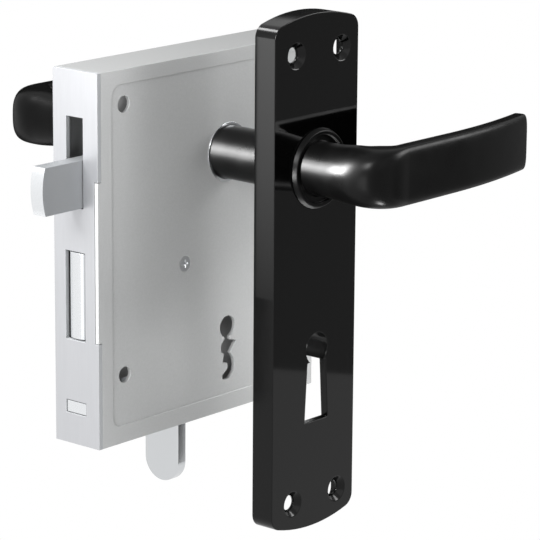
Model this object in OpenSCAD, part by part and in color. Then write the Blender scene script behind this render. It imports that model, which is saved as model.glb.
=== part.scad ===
// Rim door lock: a box lock that is screwed on a door's face, with a lifting latch,
// a key-driven deadbolt, a night bolt with a thumb tab, lever handles on one square
// spindle, and a long outer plate with a keyhole.
// X runs from the forend to the rear, Y from the door towards the room, Z up.
// Origin: centre of the four case screw holes, in the plane of the door's face.

/* [Case] */
// Length of the case, from the forend's face to the rear face
case_l = 127.5; // [122:0.5:140]
// Thickness of the case, from the door's face to the room side
case_t = 23.5; // [23:0.5:26]
// Height of the case above the origin
case_up = 67.2; // [66:0.2:80]
// Depth of the case below the origin
case_down = 80.8; // [80:0.2:90]
// Sheet of the case's walls
wall_t = 1.5; // [1:0.1:2]
// Sheet of the cover on the door side
cover_t = 1.6; // [1:0.1:1.8]
// Depth of the cover's pressed panel
panel_recess = 0.45; // [0.2:0.05:0.45]
// Radius of the panel's corners
panel_corner_r = 4.5; // [2:0.5:8]
// Border of the cover above the panel
border_top = 5.8; // [4:0.2:8]
// Border of the cover below the panel
border_bottom = 7; // [4:0.2:9]
// Border of the cover at the forend and at the rear
border_side = 7.9; // [6:0.1:9]

/* [Forend] */
// Thickness of the forend plate
forend_t = 2; // [1.5:0.1:3]
// Height of the slot that the latch lifts in
latch_slot_h = 35.4; // [34:0.2:38]
// Width of the slot that the latch lifts in
latch_slot_w = 8.9; // [7.5:0.1:10]
// Width of the deadbolt's window
bolt_window_w = 10.6; // [9:0.1:12]
// Width of the night bolt's window
night_window_w = 10.9; // [9:0.1:12]
// Length of the cover's tab that fills the notch in the forend
tab_h = 63.8; // [40:0.2:66]
// Drop of the tab's lower end below the spindle
tab_drop = 64.6; // [60:0.2:66]
// Play round what fits in a slot or notch
slot_play = 0.3; // [0.2:0.05:0.5]

/* [Fixing] */
// Spacing of the case screws along X
screw_dx = 97.5; // [90:0.5:100]
// Spacing of the case screws along Z
screw_dz = 107; // [104:0.5:112]
// Radius of the case screw holes
screw_hole_r = 3.25; // [2.5:0.05:4]

/* [Spindle and key] */
// Backset: forend's face to the spindle
backset = 75; // [73:0.5:77]
// Height of the spindle above the origin
spindle_up = 26; // [24:0.5:28]
// Spindle to the keyhole's round
key_centres = 72; // [72:0.5:74]
// Side of the square spindle
spindle_sq = 8; // [7:0.5:9]
// Radius of the round in the case's keyhole
key_r = 4.5; // [3.5:0.1:5]
// Length of the case's keyhole below its centre
key_slot_l = 22; // [20:0.5:24]

/* [Levers] */
// Radius of the levers' round necks
neck_r = 10.7; // [9:0.1:11]
// Spindle to the lever's tip
lever_l = 97; // [80:1:120]
// Height of the grip at the elbow
grip_h = 23.4; // [20:0.2:26]
// Height of the grip at its tip
grip_tip_h = 23.2; // [18:0.2:26]
// Thickness of the grip at the elbow
grip_t = 8.4; // [7:0.1:11]
// Thickness of the grip at its tip
grip_tip_t = 7; // [5:0.1:9]
// Radius of the elbow's middle line
elbow_r = 11.5; // [11:0.5:14]
// Radius of the grip's bend back towards the door
grip_bend_r = 240; // [150:5:500]
// Straight length of the grip, from the spindle, before it bends
grip_straight = 42.5; // [20:0.5:50]
// Outer lever: door's face to the middle of the grip
outer_reach = 78.4; // [75:0.2:95]
// Inner lever: case's room face to the middle of the grip
inner_reach = 91; // [60:0.2:95]
// Running gap between a neck and what it turns in
neck_play = 0.2; // [0.15:0.05:0.3]

/* [Plate] */
// Room for the door between the case and the plate
door_t = 36; // [30:0.5:45]
// Width of the plate
plate_w = 49.6; // [46:0.2:55]
// Middle of the plate from the spindle, along X
plate_shift = -1.3; // [-2:0.1:2]
// Thickness of the plate
plate_t = 10.3; // [8:0.1:12]
// Top of the plate above the spindle
plate_up = 61; // [58:0.5:66]
// Height of the plate
plate_h = 206.2; // [200:0.1:220]
// Radius of the plate's arched ends
plate_arch_r = 76; // [60:1:120]
// Radius of the plate's corners
plate_corner_r = 5.5; // [3:0.5:8]
// Front wall of the hollow plate
plate_front_t = 3.4; // [2:0.1:4]
// Rim of the hollow plate
plate_rim_t = 1.2; // [1:0.1:3]
// Spacing of the plate screws along X
plate_dx = 27; // [24:0.5:30]
// Top of the plate to the upper plate screws
plate_screw_top = 15.3; // [13:0.1:18]
// Lower end of the plate to the lower plate screws
plate_screw_low = 11.7; // [11:0.1:18]
// Radius of the plate screw holes
plate_screw_r = 3; // [2:0.1:3.2]
// Radius of their countersinks
plate_sink_r = 5.2; // [4:0.1:5.6]
// Plate's keyhole from the case's, along X
plate_key_dx = 0.4; // [-0.5:0.1:0.5]
// Drop of the plate's keyhole below the case's
plate_key_drop = 0.5; // [0:0.1:1.5]
// Radius of the round in the plate's keyhole
plate_key_r = 6.4; // [5.6:0.1:7]
// Length of the plate's keyhole below its centre
plate_key_l = 29.5; // [24:0.1:32]
// Width of the plate's keyhole slot at the round
plate_slot_top_w = 11; // [8:0.2:12]
// Width of the plate's keyhole slot at its lower end
plate_slot_low_w = 14; // [10:0.2:15]
// Outer radius of the collar round the neck, at the plate
collar_r = 16; // [15.2:0.1:17]
// Outer radius of the collar at its front
collar_front_r = 15; // [14.6:0.1:15.2]
// Radius of the collar's recess round the neck
collar_recess_r = 13.5; // [12:0.1:14]
// How far the collar stands out of the plate
collar_out = 2; // [1.5:0.1:4]

/* [Latch] */
// How far the corner of the latch stands out of the forend
latch_out = 20; // [15:0.5:22]
// Bulge of the latch's rounded nose
latch_bulge = 1.5; // [0.5:0.1:2]
// Height of the latch's nose
latch_h = 18.7; // [17:0.1:19]
// Thickness of the latch bar
latch_t = 6.4; // [5:0.1:6.5]
// Rear face of the case to the latch's pivot
latch_pivot_in = 9.5; // [9.5:0.5:10.5]
// Latch pivot above the spindle
latch_pivot_up = 13; // [12:0.5:14]
// Radius of the latch's pivot pin
latch_pin_r = 3; // [2:0.1:3.5]

/* [Deadbolt] */
// Drop of the deadbolt's middle below the spindle
bolt_drop = 47.2; // [47:0.1:47.4]
// Height of the deadbolt's head
bolt_h = 34.4; // [30:0.2:34.6]
// Thickness of the deadbolt's head
bolt_t = 8; // [6:0.1:8.6]
// Length of the deadbolt's head
bolt_head_l = 26; // [24:0.5:28]
// How far the key throws the deadbolt
bolt_throw = 20; // [16:0.5:20]
// Thickness of the deadbolt's tail
tail_t = 4; // [3:0.1:5]
// Height of the deadbolt's tail
tail_h = 11; // [10:0.1:11]
// Forend's face to the guide post over the tail
top_guide_back = 64; // [62:0.5:65]
// Forend's face to the first notch in the tail
notch_back = 72; // [71.5:0.5:72.5]
// Rear face of the case to the tumbler's pivot
tumbler_in = 19.5; // [19:0.5:20]

/* [Night bolt] */
// Drop of the night bolt's middle below the spindle
night_drop = 92; // [91.5:0.5:92.5]
// Height of the night bolt
night_h = 4.7; // [4:0.1:5]
// Width of the night bolt
night_w = 10.3; // [8:0.1:10.3]
// How far the thumb tab pushes the night bolt
night_throw = 12; // [8:0.5:12]
// Width of the thumb tab
thumb_w = 18; // [14:0.5:19]
// Thickness of the thumb tab
thumb_t = 4.8; // [4:0.1:6]
// How far the thumb tab hangs below the case
thumb_down = 26; // [18:0.5:30]
// Forend's face to the thumb tab
thumb_back = 48; // [46:0.5:50]
// Forend's face to the detent's first notch
detent_back = 36; // [35.5:0.5:36.5]

/* [Hidden] */
$fn = 64;
fit = 0.1;      // clearance of a turning or seated piece
over = 1;       // how far a cutter runs past a face
face = 0.02;    // gap between faces that only rest on each other

// Places in the case
forend_x = -case_l / 2;
rear_x = case_l / 2;
shell_x = forend_x + forend_t;
spindle_x = forend_x + backset;
spindle_z = spindle_up;
key_x = spindle_x;
key_z = spindle_z - key_centres;
room_y = case_t - wall_t;                 // inner face of the room wall
cover_in_y = cover_t + panel_recess;      // inner face of the cover's panel
mid_y = 12.3;                             // plane that the bolts move in
plate_y = -door_t - plate_t;              // front face of the outer plate
plate_x = spindle_x + plate_shift;        // its middle
plate_key_x = key_x + plate_key_dx;
plate_key_z = key_z - plate_key_drop;
lip = 0.8;                                // proud collar of a bush or pillar

// Slots in the forend
latch_slot_y = 7.7;
latch_slot_z = spindle_z - 12.2;
bolt_z = spindle_z - bolt_drop;                // middle of the deadbolt
night_z = spindle_z - night_drop;                 // middle of the night bolt
tab_z = spindle_z - tab_drop;                 // lower end of the cover's tab
bolt_end_x = forend_x + 0.3;              // the bolts rest just inside the forend's face

// Latch
latch_y = latch_slot_y + slot_play;
latch_low_z = latch_slot_z + 0.4;
latch_top_z = latch_low_z + latch_h;
pivot_x = rear_x - latch_pivot_in;
pivot_z = spindle_z + latch_pivot_up;
hub_r = 11;
arm_dx = 15;                              // follower arm's tip, from the spindle
arm_dz = 5;
arm_tip_r = 2.5;
bar_under_z = spindle_z + arm_dz + arm_tip_r + 0.15;
bar_over_z = spindle_z + 19.5;
spring_x = spindle_x - 19;
peg_r = 2;
peg_h = 4;
spring_r = 3.6;
spring_wire_r = 0.6;
spring_turns = 7;

// Deadbolt
tail_top_z = bolt_z + 0.7;
tail_low_z = tail_top_z - tail_h;
tail_y = mid_y - tail_t / 2;
tail_end_x = forend_x + 101;
guide_r = 2.4;
guide_x = forend_x + 40;
guide_z = tail_low_z + 5.3;
guide_play = 0.1;
top_guide_x = forend_x + top_guide_back;
notch_x = forend_x + notch_back;                  // where the tumbler's stump drops
notch_w = 5.4;
notch_h = 2.8;
talon_x = key_x + 10;
talon_h = 5.5;
talon_top_w = 3.4;
talon_low_w = 9;
tumbler_t = 2;
tumbler_y = tail_y + tail_t + 0.4;
tumbler_pin_r = 2;
tumbler_boss_r = 5.5;
tumbler_x = rear_x - tumbler_in;
tumbler_z = spindle_z - 40;
tumbler_low_z = key_z + 19.4;             // just above a key's bit
stump_w = 4;
stump_lift = 0.25;
strip_t = 0.5;                            // spring strip
strip_r = 46;
pin_x = key_x + 1.5;
pin_r = 1.5;

// Stops of the latch and of the tumbler's spring
stop_r = 2.2;
stop_x = forend_x + 12;
stop_z = latch_low_z - stop_r - face;
strip_x = tumbler_x - 13;                 // where the strip leaves the tumbler's back
strip_z = tumbler_z + 5 + face;
spring_pin_z = strip_z + strip_r
    - sqrt(pow(strip_r - strip_t - pin_r - face, 2) - pow(strip_x - pin_x, 2));

// Night bolt
night_tail_x = forend_x + thumb_back + thumb_t;
stem_w = 10;
guide_l = 9;
guide_wall = 2.5;
night_guide_x = forend_x + 20;
detent_x = forend_x + detent_back;
detent_r = 1.5;
detent_h = 0.8;

// Pillar and screws
pillar_x = forend_x + 49.7;
pillar_z = spindle_z - 41.4;
pillar_r = 3.4;
cover_screw_r = 1.75;
cover_screw_head_r = 3.2;
grub_r = 2.5;
grub_back = 24;                           // grub screw, from the grip's middle line

steel = "#b4b6b6";
bright = "#d8dadb";
black = "#232425";
brass = "#b79a5c";
dark_steel = "#7e8283";

// Extrudes a drawing in X and Z along Y, from y0
module along_y(y0, t) {
    translate([0, y0 + t, 0]) rotate([90, 0, 0]) linear_extrude(t) children();
}

// Extrudes a drawing in Y and Z along X, from x0
module along_x(x0, l) {
    translate([x0, 0, 0]) rotate([90, 0, 90]) linear_extrude(l) children();
}

// Cylinder along Y
module rod_y(r, y0, y1, x = 0, z = 0) {
    translate([x, y1, z]) rotate([90, 0, 0]) cylinder(r = r, h = y1 - y0);
}

// Cone along Y, from radius r0 at y0 to radius r1 at y1
module cone_y(r0, r1, y0, y1, x = 0, z = 0) {
    translate([x, y1, z]) rotate([90, 0, 0]) cylinder(r1 = r1, r2 = r0, h = y1 - y0);
}

// Rectangle with round corners, from one corner to the other
module round_rect(x0, z0, x1, z1, r) {
    translate([x0 + r, z0]) square([x1 - x0 - 2 * r, z1 - z0]);
    translate([x0, z0 + r]) square([x1 - x0, z1 - z0 - 2 * r]);
    for (x = [x0 + r, x1 - r], z = [z0 + r, z1 - r]) translate([x, z]) circle(r);
}

// The four case screw holes
module case_screw_holes(y0, y1) {
    for (x = [-1, 1], z = [-1, 1]) {
        rod_y(screw_hole_r, y0, y1, x * screw_dx / 2, z * screw_dz / 2);
    }
}

// Warded keyhole of the case: a round with a crooked slot below it
module case_keyhole() {
    translate([key_x, key_z]) {
        circle(key_r);
        intersection() {
            translate([-key_r - over, -key_slot_l]) square([2 * key_r + 2 * over, key_slot_l]);
            polygon([
                [-0.9, 0], [1.4, 0], [1.4, -5.6], [5.3, -6.6], [1.7, -11.2], [3.6, -13.6],
                [4.4, -16.6], [3.8, -19.4], [1.8, -21.6], [-0.5, -22.6], [-2.9, -21.4],
                [-2.9, -19.8], [0.2, -17.6], [0.2, -15.4], [-2.7, -14.3], [-2, -11],
                [-3.8, -10], [-3.8, -7.2], [-1.7, -4.9]
            ]);
        }
    }
}

// Coil of round wire about Z, from z = 0, in one unbroken tube
module coil(r, wire_r, turns, h, sides = 6, steps = 12) {
    n = turns * steps;
    rise = (h - 2 * wire_r) / n;
    points = [for (i = [0 : n], j = [0 : sides - 1])
        let (a = i * 360 / steps, b = j * 360 / sides, d = r + wire_r * cos(b))
        [d * cos(a), d * sin(a), wire_r + i * rise + wire_r * sin(b)]];
    polyhedron(points, skin_faces(n + 1, sides));
}

// Faces of a skin over rings of the same number of points, with both ends closed
function skin_faces(rings, sides) = concat(
    [[for (j = [0 : sides - 1]) j]],
    [for (i = [0 : rings - 2], j = [0 : sides - 1], k = [0 : 1])
        let (a = i * sides + j, b = i * sides + (j + 1) % sides)
        k == 0 ? [a, a + sides, b] : [b, a + sides, b + sides]],
    [[for (j = [sides - 1 : -1 : 0]) (rings - 1) * sides + j]]
);

// Case: room wall, top, bottom and rear walls, pressed from one sheet
module case_shell() {
    color(steel) difference() {
        translate([shell_x, cover_t + face, -case_down])
            cube([case_l - forend_t, case_t - cover_t - face, case_up + case_down]);
        translate([shell_x - over, cover_t - over, -case_down + wall_t])
            cube([case_l - forend_t + over - wall_t, room_y - cover_t + over,
                case_up + case_down - 2 * wall_t]);
        case_screw_holes(room_y - over, case_t + over);
        rod_y(bush_r(inner_barrel), room_y - over, case_t + over, spindle_x, spindle_z);
        along_y(room_y - over, wall_t + 2 * over) case_keyhole();
        for (p = posts) rod_y(p[2] + face, room_y - over, case_t + over, p[0], p[1]);
        translate([forend_x + thumb_back - night_throw - slot_play,
            case_t / 2 - stem_w / 2 - slot_play, -case_down - over])
            cube([night_throw + thumb_t + 2 * slot_play, stem_w + 2 * slot_play,
                wall_t + 2 * over]);
    }
}

// Spigots of the posts that are riveted in the room wall: x, z and radius
posts = [
    [pillar_x, pillar_z, 2],
    [pivot_x, pivot_z, 2],
    [guide_x, guide_z, 1.6],
    [top_guide_x, tail_top_z + guide_r + guide_play, 1.6],
    [tumbler_x, tumbler_z, 1.4],
    [pin_x, spring_pin_z, 1.1],
    [stop_x, stop_z, 1.6]
];
// A post riveted in the room wall: shank, spigot and flat rivet head
module post(i, r, y0) {
    p = posts[i];
    rod_y(r, y0, room_y - face, p[0], p[1]);
    rod_y(p[2], room_y - over, case_t, p[0], p[1]);
    rod_y(p[2] + 0.8, case_t + face, case_t + 0.6, p[0], p[1]);
    rod_y(p[2], case_t - face, case_t + 0.5, p[0], p[1]);
}

// Cover on the door side, with its pressed panel and the tab at the forend
module cover_plate() {
    panel_x0 = forend_x + border_side;
    panel_x1 = rear_x - border_side;
    panel_z0 = -case_down + border_bottom;
    panel_z1 = case_up - border_top;
    color(steel) difference() {
        union() {
            translate([shell_x + face, 0, -case_down])
                cube([case_l - forend_t - face, cover_t, case_up + case_down]);
            translate([forend_x, 0, tab_z + slot_play])
                cube([forend_t + over, cover_t, tab_h - 2 * slot_play]);
            along_y(cover_t - panel_recess, 2 * panel_recess)
                round_rect(panel_x0, panel_z0, panel_x1, panel_z1, panel_corner_r);
        }
        along_y(-over, over + panel_recess)
            round_rect(panel_x0, panel_z0, panel_x1, panel_z1, panel_corner_r);
        case_screw_holes(-over, cover_in_y + over);
        rod_y(bush_r(outer_barrel), -over, cover_in_y + over, spindle_x, spindle_z);
        along_y(-over, cover_in_y + 2 * over) case_keyhole();
        rod_y(cover_screw_r + fit, -over, cover_in_y + over, pillar_x, pillar_z);
        cone_y(cover_screw_head_r + fit, cover_screw_r + fit, panel_recess,
            cover_in_y - 0.3, pillar_x, pillar_z);
    }
}

// Forend: face plate with the latch's slot and the windows of the two bolts
module forend_plate() {
    bolt_win_h = bolt_h + 1;
    night_win_h = night_h + 2 * slot_play;
    color(bright) difference() {
        translate([forend_x, 0, -case_down]) cube([forend_t - face, case_t, case_up + case_down]);
        along_x(forend_x - over, forend_t + 2 * over) {
            translate([latch_slot_y, latch_slot_z]) square([latch_slot_w, latch_slot_h]);
            translate([mid_y - bolt_window_w / 2, bolt_z - bolt_win_h / 2])
                square([bolt_window_w, bolt_win_h]);
            translate([mid_y - night_window_w / 2, night_z - night_win_h / 2])
                square([night_window_w, night_win_h]);
            translate([-over, tab_z]) square([cover_t + slot_play + over, tab_h]);
        }
    }
}

// Pillar that takes the cover screw
module cover_pillar() {
    color(dark_steel) difference() {
        post(0, pillar_r, cover_in_y + face);
        rod_y(cover_screw_r - 0.3, 0, room_y - 3, pillar_x, pillar_z);
    }
}

// Countersunk screw of the cover, with a cross recess
module cover_screw() {
    head_y = panel_recess + 0.05;
    color(bright) difference() {
        union() {
            cone_y(cover_screw_head_r, cover_screw_r - 0.35, head_y, head_y + 1.5,
                pillar_x, pillar_z);
            rod_y(cover_screw_r - 0.35, head_y, 12, pillar_x, pillar_z);
        }
        translate([pillar_x, head_y, pillar_z]) for (a = [0, 90]) rotate([0, a, 0])
            cube([0.8, 1.6, 3.4], center = true);
    }
}

// Bushes that the necks turn in: barrel length, and how far the collar stands proud
outer_barrel = 1.1;
inner_barrel = 1.1;
function bush_r(barrel) = neck_r + neck_play + barrel;

module bush(y0, y1, barrel, flange_y0, flange_y1) {
    difference() {
        union() {
            rod_y(bush_r(barrel) - face, y0, y1, spindle_x, spindle_z);
            rod_y(bush_r(barrel) + 1.4, flange_y0, flange_y1, spindle_x, spindle_z);
        }
        rod_y(neck_r + neck_play, y0 - over, y1 + over, spindle_x, spindle_z);
    }
}

module outer_bush() {
    color(bright) bush(panel_recess - 0.35, cover_in_y + 0.9, outer_barrel,
        cover_in_y + face, cover_in_y + 0.9);
}

module inner_bush() {
    color(bright) bush(room_y - 0.9, case_t + 0.4, inner_barrel, room_y - 0.9, room_y - face);
}

// Neck ends inside the case
outer_neck_y = cover_in_y + 1;
inner_neck_y = room_y - 1;

// Follower: hub with a square hole and the arm that lifts the latch
module follower() {
    hub_y0 = outer_neck_y + fit;
    hub_y1 = inner_neck_y - fit;
    sq = spindle_sq + 2 * fit;
    color(dark_steel) difference() {
        union() {
            rod_y(hub_r, latch_y - 0.5, latch_y + latch_t + 0.5, spindle_x, spindle_z);
            rod_y(hub_r - 2.5, hub_y0, hub_y1, spindle_x, spindle_z);
            rod_y(arm_tip_r, latch_y, latch_y + latch_t, spindle_x - arm_dx, spindle_z + arm_dz);
            along_y(latch_y, latch_t) translate([spindle_x, spindle_z]) polygon([
                [0, 0], [-8, -7], [-arm_dx - 1.2, arm_dz - 2.1],
                [-arm_dx + 1, arm_dz + 2.2], [-6, 7]
            ]);
        }
        translate([spindle_x, (hub_y0 + hub_y1) / 2, spindle_z])
            cube([sq, hub_y1 - hub_y0 + 2 * over, sq], center = true);
    }
}

// Square spindle that joins both levers and the follower
spindle_y0 = -outer_reach + 22;
spindle_y1 = case_t + inner_reach - 22;

module spindle() {
    chamfer = 0.8;
    half = spindle_sq / 2;
    color(steel) along_y(spindle_y0, spindle_y1 - spindle_y0)
        translate([spindle_x, spindle_z]) polygon([
            [-half, -half + chamfer], [-half + chamfer, -half], [half - chamfer, -half],
            [half, -half + chamfer], [half, half - chamfer], [half - chamfer, half],
            [-half + chamfer, half], [-half, half - chamfer]
        ]);
}

// Middle line of a lever: [x, y, turn of the outward normal from X to Y]
elbow_steps = 9;
grip_steps = 9;
cap_insets = [0, 0.12, 0.45, 1];          // share of the cap's radius lost at each ring
cap_places = [1, 0.52, 0.18, 0];          // and its distance from the tip, in cap radii
cap_r = 2.5;
neck_lead = 12;                           // the neck starts to flare this far before the elbow
neck_steps = 5;
height_way = [-neck_lead, 1];             // where the height changes along the middle line,
square_way = [-2.5, 22.5];                // the corners too, and the thickness last;
thick_way = [5.5, 18.5];                  // each from the elbow's start, in mm
lever_sides = 28;
skin_r = neck_r / cos(180 / lever_sides) + 0.03;    // the skin's flats clear the round neck

function smooth(t) = t * t * (3 - 2 * t);
function grip_turn(x) = x <= grip_straight ? 0 : asin((x - grip_straight) / grip_bend_r);
function grip_y(x, reach) = reach - grip_bend_r * (1 - cos(grip_turn(x)));

// One ring of the lever's skin: a rounded section that goes from a circle to a flat oval
function lever_ring(x, y, turn, half_t, half_h, power) = [
    for (j = [0 : lever_sides - 1])
        let (a = j * 360 / lever_sides, c = cos(a), s = sin(a),
            u = half_t * sign(c) * pow(abs(c), 2 / power),
            w = half_h * sign(s) * pow(abs(s), 2 / power))
        [x + u * cos(turn), y + u * sin(turn), w]
];

// Share of a change that is done at a place on the middle line
function done(way, place) = smooth(max(0, min(1, (place - way[0]) / (way[1] - way[0]))));

// One ring at a place on the middle line, on its way from the round neck to a grip's section
function skin_ring(x, y, turn, place, section_t, section_h) =
    lever_ring(x, y, turn,
        skin_r + (section_t / 2 - skin_r) * done(thick_way, place),
        skin_r + (section_h / 2 - skin_r) * done(height_way, place),
        2 + 3 * done(square_way, place));

function neck_ring(i, reach) =
    let (place = -neck_lead * (1 - i / neck_steps))
    skin_ring(0, reach - elbow_r + place, 180, place, grip_t, grip_h);

function elbow_ring(i, reach) =
    let (a = 90 * i / elbow_steps)
    skin_ring(elbow_r * (1 - cos(a)), reach - elbow_r * (1 - sin(a)), 180 - a,
        elbow_r * a * PI / 180, grip_t, grip_h);

function grip_ring(x, reach, inset) =
    let (t = (x - elbow_r) / (lever_l - elbow_r))
    skin_ring(x, grip_y(x, reach), 90 - grip_turn(x), elbow_r * (PI / 2 - 1) + x,
        grip_t + (grip_tip_t - grip_t) * t - 2 * inset,
        grip_h + (grip_tip_h - grip_h) * t - 2 * inset);

// Elbow and grip as one skin. Its origin is on the spindle's axis and +Y is outward
module grip(reach) {
    cap_x = lever_l - cap_r;
    rings = concat(
        [for (i = [0 : neck_steps - 1]) neck_ring(i, reach)],
        [for (i = [0 : elbow_steps]) elbow_ring(i, reach)],
        [for (i = [1 : grip_steps])
            grip_ring(elbow_r + (cap_x - elbow_r) * i / grip_steps, reach, 0)],
        [for (i = [1 : 3]) grip_ring(lever_l - cap_places[i] * cap_r, reach,
            cap_insets[i] * cap_r)]
    );
    points = [for (ring = rings) each ring];
    polyhedron(points, skin_faces(len(rings), lever_sides));
}

// A lever from its neck's inner end at y = 0 outward, with the spindle's socket
module lever(reach) {
    sq = spindle_sq + fit;
    socket_l = reach - 18;
    difference() {
        union() {
            translate([0, reach - elbow_r - neck_lead + 1, 0]) rotate([90, 0, 0])
                cylinder(r = neck_r, h = reach - elbow_r - neck_lead + 1);
            grip(reach);
        }
        translate([-sq / 2, -over, -sq / 2]) cube([sq, socket_l + over, sq]);
        translate([0, reach - grub_back, -neck_r - over])
            cylinder(r = grub_r, h = neck_r + over);
    }
}

module outer_lever() {
    reach = outer_reach + outer_neck_y;
    clip_y = plate_y + plate_front_t + 1;
    color(black) difference() {
        translate([spindle_x, outer_neck_y, spindle_z]) mirror([0, 1, 0]) lever(reach);
        difference() {
            rod_y(neck_r + over, clip_y, clip_y + 1.2, spindle_x, spindle_z);
            rod_y(neck_r - 0.8, clip_y - over, clip_y + 1.2 + over, spindle_x, spindle_z);
        }
    }
}

module inner_lever() {
    reach = inner_reach + case_t - inner_neck_y;
    color(black) translate([spindle_x, inner_neck_y, spindle_z]) lever(reach);
}

// Grub screws that hold the levers on the spindle
module grub_screws() {
    top = spindle_sq / 2 + face;
    ends = [-outer_reach + grub_back, case_t + inner_reach - grub_back];
    color(dark_steel) for (y = ends) translate([spindle_x, y, spindle_z]) difference() {
        translate([0, 0, -neck_r + 0.6]) cylinder(r = grub_r - face, h = neck_r - 0.6 - top);
        translate([0, 0, -neck_r]) cylinder(r = 1.25, h = 2.6, $fn = 6);
    }
}

// Outline of the plate, made smaller by inset: arched ends with round corners
module plate_outline(inset) {
    half = plate_w / 2 - inset;
    arch = plate_arch_r - inset;
    corner = plate_corner_r - inset;
    top = plate_up;
    low = plate_up - plate_h;
    corner_x = half - corner;
    rise = sqrt(pow(arch - corner, 2) - pow(corner_x, 2));
    touch_x = corner_x * arch / (arch - corner);
    mid = (top + low) / 2;
    translate([plate_x, spindle_z]) {
        intersection() {
            translate([-touch_x, mid]) square([2 * touch_x, plate_h]);
            translate([0, top - plate_arch_r]) circle(arch, $fn = 256);
        }
        intersection() {
            translate([-touch_x, mid - plate_h]) square([2 * touch_x, plate_h]);
            translate([0, low + plate_arch_r]) circle(arch, $fn = 256);
        }
        translate([-half, low + plate_arch_r - rise])
            square([2 * half, plate_h - 2 * plate_arch_r + 2 * rise]);
        for (x = [-corner_x, corner_x], z = [top - plate_arch_r + rise, low + plate_arch_r - rise])
            translate([x, z]) circle(corner);
    }
}

// Keyhole of the plate: a round over a slot that widens downwards
module plate_keyhole() {
    top_w = plate_slot_top_w / 2;
    low_w = plate_slot_low_w / 2;
    top = -0.81 * plate_key_r;
    translate([plate_key_x, plate_key_z]) {
        circle(plate_key_r);
        polygon([[-top_w, top], [top_w, top], [low_w, -plate_key_l], [-low_w, -plate_key_l]]);
    }
}

plate_screws = [for (x = [-1, 1], z = [plate_up - plate_screw_top,
    plate_up - plate_h + plate_screw_low]) [spindle_x + x * plate_dx / 2, spindle_z + z]];
clip_r = 12.6;
collar_wall = 1.5;

// Long outer plate: a hollow casting with bosses at the neck and the keyhole
module door_plate() {
    color(black) difference() {
        union() {
            difference() {
                along_y(plate_y, plate_t) plate_outline(0);
                along_y(plate_y + plate_front_t, plate_t) plate_outline(plate_rim_t);
            }
            rod_y(clip_r + 2, plate_y + over, -door_t - 2, spindle_x, spindle_z);
            rod_y(plate_key_r + 1.8, plate_y + over, -door_t, plate_key_x, plate_key_z);
        }
        for (p = plate_screws) {
            rod_y(plate_screw_r, plate_y - over, -door_t + over, p[0], p[1]);
            cone_y(plate_sink_r, plate_screw_r, plate_y, plate_y + plate_sink_r - plate_screw_r,
                p[0], p[1]);
        }
        rod_y(bush_r(collar_wall), plate_y - over, plate_y + plate_front_t + over,
            spindle_x, spindle_z);
        rod_y(clip_r + 0.6, plate_y + plate_front_t - 0.4, -door_t, spindle_x, spindle_z);
        along_y(plate_y - over, plate_t + 2 * over) plate_keyhole();
    }
}

// Collar that the outer neck turns in, pressed in the plate
module plate_collar() {
    color(black) difference() {
        union() {
            cone_y(collar_front_r, collar_r, plate_y - collar_out, plate_y - face,
                spindle_x, spindle_z);
            rod_y(bush_r(collar_wall) - face, plate_y - 0.5, plate_y + plate_front_t - 0.5,
                spindle_x, spindle_z);
        }
        rod_y(neck_r + neck_play, plate_y - collar_out - over, plate_y + plate_t,
            spindle_x, spindle_z);
        rod_y(collar_recess_r, plate_y - collar_out - over, plate_y - 0.5,
            spindle_x, spindle_z);
    }
}

// Spring clip in the neck's groove, behind the plate
module neck_clip() {
    clip_y = plate_y + plate_front_t + 1;
    color(dark_steel) difference() {
        rod_y(clip_r, clip_y + 0.1, clip_y + 1.1, spindle_x, spindle_z);
        rod_y(neck_r - 0.75, clip_y - over, clip_y + 1 + over, spindle_x, spindle_z);
        translate([spindle_x - 3, clip_y - over, spindle_z - clip_r - over])
            cube([6, 3, clip_r]);
    }
}

// Lifting latch: nose in the forend's slot, bar over the follower, boss at the pivot
module latch_bar() {
    nose_x = forend_x - latch_out;
    mid_z = (latch_low_z + latch_top_z) / 2;
    arc_r = (pow(latch_h / 2, 2) + pow(latch_bulge, 2)) / (2 * latch_bulge);
    neck_x = forend_x + 14;
    boss_r = latch_pin_r + 3.6;
    color(bright) difference() {
        union() {
            along_y(latch_y, latch_t) intersection() {
                polygon([
                    [nose_x - 2 * latch_bulge, latch_low_z], [neck_x, latch_low_z],
                    [forend_x + 46, bar_under_z], [pivot_x, bar_under_z],
                    [pivot_x, bar_over_z - 1], [forend_x + 72, bar_over_z],
                    [forend_x + 50, bar_over_z], [neck_x, latch_top_z],
                    [nose_x - 2 * latch_bulge, latch_top_z]
                ]);
                union() {
                    translate([nose_x - latch_bulge + arc_r, mid_z]) circle(arc_r, $fn = 192);
                    translate([nose_x + 5, mid_z - 50]) square([200, 100]);
                }
            }
            rod_y(boss_r, latch_y - 2, latch_y + latch_t + 3, pivot_x, pivot_z);
            translate([spring_x, latch_y + latch_t / 2, bar_over_z - over])
                cylinder(r = peg_r, h = peg_h + over);
        }
        rod_y(latch_pin_r + fit / 2, 0, case_t, pivot_x, pivot_z);
        rod_y(hub_r + 1.2, latch_y - over, latch_y + latch_t + over, spindle_x, spindle_z);
    }
}

// Pivot pin of the latch, riveted in the room wall
module latch_pivot() {
    color(dark_steel) post(1, latch_pin_r, cover_in_y + 0.3);
}

// Stop that the latch rests on
module latch_stop() {
    color(dark_steel) post(6, stop_r, latch_y);
}

// Coil spring that pushes the latch down
module latch_spring() {
    room = case_up - wall_t - bar_over_z;
    color(dark_steel) translate([spring_x, latch_y + latch_t / 2, bar_over_z + 0.1])
        coil(spring_r, spring_wire_r, spring_turns, room - 0.2);
}

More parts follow.
